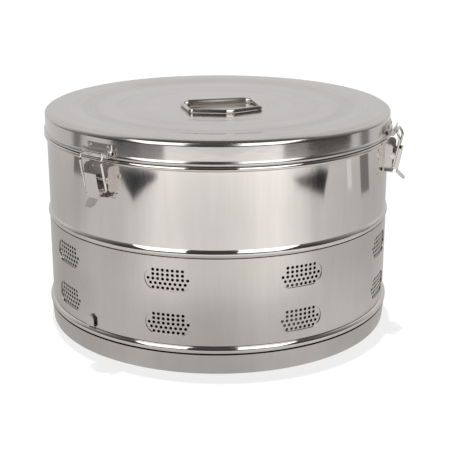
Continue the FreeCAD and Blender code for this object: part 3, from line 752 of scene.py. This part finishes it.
# Drawn wire and small pressings, tumbled bright
bright = stainless("bright_stainless", colour="#D6D1CB", shade="#CFCAC4", rough=0.12, spread=0.02,
                   grain=(2.5, 2.5, 2.5), grain_depth=0.001, wave_depth=0.004)
# Small pressings as they leave the press: duller than the wire, and painted paler than the other sheet so
# that the latch bases and keepers mirror lighter: painted light
plain = stainless("plain_stainless_painted_light", colour="#E2DDD8", shade="#DAD5D0", rough=0.32, spread=0.03,
                  grain=(2.5, 2.5, 2.5), grain_depth=0.001, wave_depth=0.004)
# Heads of rivets, hammered: dull
hammered = stainless("hammered_stainless", colour="#CDC7C2", shade="#C5BFBA", rough=0.6, spread=0.03,
                     grain=(2.5, 2.5, 2.5), grain_depth=0.001, wave_depth=0.004)
# Strip that was never buffed: darker, with a soft sheen
raw = stainless("raw_stainless", colour="#8F8A84", shade="#7F7A75", rough=0.30, spread=0.03,
                grain=(2.5, 2.5, 2.5), grain_depth=0.001, wave_depth=0.004)


def finish_of(name):
    """The finish of a piece that stays as the frame has it."""
    if "clip" in name:
        return raw
    if "rivets" in name:
        return hammered
    # Latch bases and keepers get the sheet painted paler: painted light
    if "base_" in name or "keeper" in name:
        return plain
    return bright


for piece, body, node, slot in (
        (drum_wall(), "drum", "body_wall", "polished_wall"),
        (drum_base(), "drum", "base_pan", "satin_band"),
        (turning_band(), "shutter", "shutter_band", "satin_band"),
        (lid_shell(), "lid", "lid", "satin_lid"),
        (thumb_tab(), "shutter", "shutter_tab", "satin_band"),
        (handle_wire(), "bail", "bail", "bright_wire")):
    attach(piece, body)
    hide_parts(node)
for side, azimuth in LATCHES.items():
    loop = latch_wire(side, azimuth)
    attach(loop, "loop_" + side)
    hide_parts("latch_loop_" + side)
for name, node in nodes.items():
    if not node.hide_render:
        dress(node, finish_of(name))
        soften(node, LATCH_EDGE if "latch" in name else CLIP_EDGE)


def room_light():
    """White for the camera; for the metal a dark room with a bright backdrop behind the drum."""
    world = bpy.data.worlds.new("room")
    bpy.context.scene.world = world
    tree = emptied(world)
    seen = add(tree, "LightPath")
    way = add(tree, "SeparateXYZ", {"Vector": add(tree, "TexCoord").outputs["Generated"]})
    back = add(tree, "MapRange", {"Value": way.outputs["Y"], "From Min": -1.0, "From Max": 1.0})
    share = add(tree, "ValToRGB", {"Fac": back}, greys(BACKDROP_SHARE))
    backdrop = add(tree, "ValToRGB", {"Fac": way.outputs["Z"]}, greys(BACKDROP))
    dark = add(tree, "ValToRGB", {"Fac": way.outputs["Z"]}, greys(DARK_ROOM))
    room = add(tree, "Mix", {0: share, 6: dark, 7: backdrop}, data_type="RGBA").outputs[2]
    mirrored = add(tree, "Background", {"Color": room, "Strength": 1.0})
    white = add(tree, "Background", {"Color": linear("#FFFFFF"), "Strength": 1.0})
    mix = add(tree, "MixShader", {0: seen.outputs["Is Camera Ray"], 1: mirrored, 2: white})
    add(tree, "OutputWorld", {"Surface": mix})


def table_top():
    """White paper for the camera. In the metal it is a painted reflection that glows instead: it ends a good
    metre off, has painted shade round the drum's foot and painted light further out.
    """
    bpy.ops.object.select_all(action="DESELECT")
    bpy.ops.mesh.primitive_circle_add(vertices=96, radius=TABLE_RADIUS, fill_type="NGON",
                                      location=(0, 0, 0))
    ground = bpy.context.object
    ground.name = "floor"
    material = bpy.data.materials.new("white_paper")
    tree = emptied(material)
    seen = add(tree, "LightPath")
    paper = add(tree, "BsdfDiffuse", {"Color": linear("#898989")})
    glow = add(tree, "Emission", {"Color": linear("#FFFFFF"), "Strength": 0.80})
    lit = add(tree, "AddShader", {0: paper, 1: glow})
    place = add(tree, "TexCoord").outputs["Object"]
    split = add(tree, "SeparateXYZ", {"Vector": place})
    ahead = add(tree, "Math", {0: split.outputs["Y"], 1: -1.0}, operation="MULTIPLY")
    turn = add(tree, "Math", {0: split.outputs["X"], 1: ahead}, operation="ARCTAN2")
    turn = add(tree, "MapRange", {"Value": turn, "From Min": -math.pi, "From Max": math.pi})
    # By azimuth: the paper's painted shade at the foot and near the drum, its painted light further out, and
    # where it ends
    foot, near, far, in_front = [add(tree, "ValToRGB", {"Fac": turn}, around(stops))
                                 for stops in (PAINTED_FOOT_SHADE, PAINTED_NEAR_SHADE, PAINTED_FAR_LIGHT, ENDS_IN_FRONT)]
    distance = add(tree, "VectorMath", {0: place}, operation="LENGTH").outputs["Value"]
    reach = PAINTED_LIGHT_LIFT[-1][0]
    share = add(tree, "Math", {0: distance, 1: 1 / reach}, operation="MULTIPLY")
    near_starts, far_starts, ends, lift = [
        add(tree, "ValToRGB", {"Fac": share}, greys(stops, reach))
        for stops in (NEAR_STARTS, FAR_STARTS, PAPER_ENDS, PAINTED_LIGHT_LIFT)]
    far = add(tree, "Mix", {0: 1.0, 6: far, 7: lift}, data_type="RGBA", blend_type="MULTIPLY").outputs[2]
    sheet = add(tree, "Mix", {0: near_starts, 6: foot, 7: near}, data_type="RGBA").outputs[2]
    sheet = add(tree, "Mix", {0: far_starts, 6: sheet, 7: far}, data_type="RGBA").outputs[2]
    gone = add(tree, "Math", {0: ends, 1: in_front}, operation="MULTIPLY")
    # Past the paper's end in front, the metal mirrors a painted dark room
    sheet = add(tree, "Mix", {0: gone, 6: sheet, 7: linear("#38383C")}, data_type="RGBA").outputs[2]
    mirrored = add(tree, "Emission", {"Color": sheet, "Strength": 1.0})
    # The camera sees the lit paper; glossy rays see the painted glow instead
    mix = add(tree, "MixShader", {0: seen.outputs["Is Glossy Ray"], 1: lit, 2: mirrored})
    add(tree, "OutputMaterial", {"Surface": mix})
    dress(ground, material)


def painted_reflection_card(name, colour, corners):
    """Painted reflection: a card that lies on the table out of the picture, glows at its colour and shows in
    the metal only.
    """
    bpy.ops.object.select_all(action="DESELECT")
    bpy.ops.mesh.primitive_circle_add(vertices=len(corners), radius=1.0, fill_type="NGON",
                                      location=(0, 0, 0))
    card = bpy.context.object
    card.name = name
    for point, (azimuth, distance) in zip(card.data.vertices, corners):
        turn = math.radians(azimuth)
        point.co = (distance * math.sin(turn), -distance * math.cos(turn), CARD_LEVEL)
    material = bpy.data.materials.new(name)
    tree = emptied(material)
    # The card glows at its colour, dark or light: a painted reflection
    even = add(tree, "Emission", {"Color": linear(colour), "Strength": 1.0})
    add(tree, "OutputMaterial", {"Surface": even})
    dress(card, material)
    card.visible_camera = False
    card.visible_diffuse = False
    card.visible_shadow = False


def softbox(name, azimuth, width, lean):
    """Large soft lamp that looks at the drum, its upper end leaning outwards."""
    data = bpy.data.lights.new(name, "AREA")
    data.shape = "RECTANGLE"
    data.size, data.size_y = width, SOFTBOX_LENGTH
    data.energy = SOFTBOX_BRIGHTNESS * math.pi * width * SOFTBOX_LENGTH
    lamp = bpy.data.objects.new(name, data)
    bpy.context.scene.collection.objects.link(lamp)
    turn, rise = math.radians(azimuth), math.radians(SOFTBOX_ELEVATION)
    target = Vector(SOFTBOX_TARGET)
    way = Vector((math.sin(turn) * math.cos(rise), -math.cos(turn) * math.cos(rise), math.sin(rise)))
    lamp.location = target + SOFTBOX_DISTANCE * way
    facing = (target - lamp.location).to_track_quat("-Z", "Y")
    lamp.rotation_euler = (facing @ Quaternion((0, 0, 1), math.radians(lean))).to_euler()
    lamp.visible_camera = False
    lamp.visible_diffuse = False


def overhead_lamp():
    """Lamp almost overhead that gives the drum its narrow pale shadow on the table."""
    data = bpy.data.lights.new("overhead", "SUN")
    data.energy = OVERHEAD_STRENGTH
    data.angle = math.radians(OVERHEAD_WIDTH)
    lamp = bpy.data.objects.new("overhead", data)
    bpy.context.scene.collection.objects.link(lamp)
    back, aside = OVERHEAD_LEAN
    lamp.rotation_euler = (math.radians(back), math.radians(aside), 0.0)
    lamp.visible_glossy = False


def camera():
    """Camera at the photograph's viewpoint."""
    data = bpy.data.cameras.new("viewpoint")
    data.lens = LENS
    data.sensor_width = SENSOR
    data.clip_start = 0.05
    data.clip_end = 50.0
    eye = bpy.data.objects.new("viewpoint", data)
    bpy.context.scene.collection.objects.link(eye)
    eye.location = CAMERA_PLACE
    eye.rotation_euler = (math.radians(90 - CAMERA_DIP), 0.0, CAMERA_TURN)
    bpy.context.scene.camera = eye


room_light()
table_top()
for name, (colour, corners) in PAINTED_REFLECTION_CARDS.items():
    painted_reflection_card(name, colour, corners)
for name, (azimuth, width, lean) in SOFTBOXES.items():
    softbox(name, azimuth, width, lean)
overhead_lamp()
camera()
bpy.context.scene.view_settings.view_transform = "Standard"
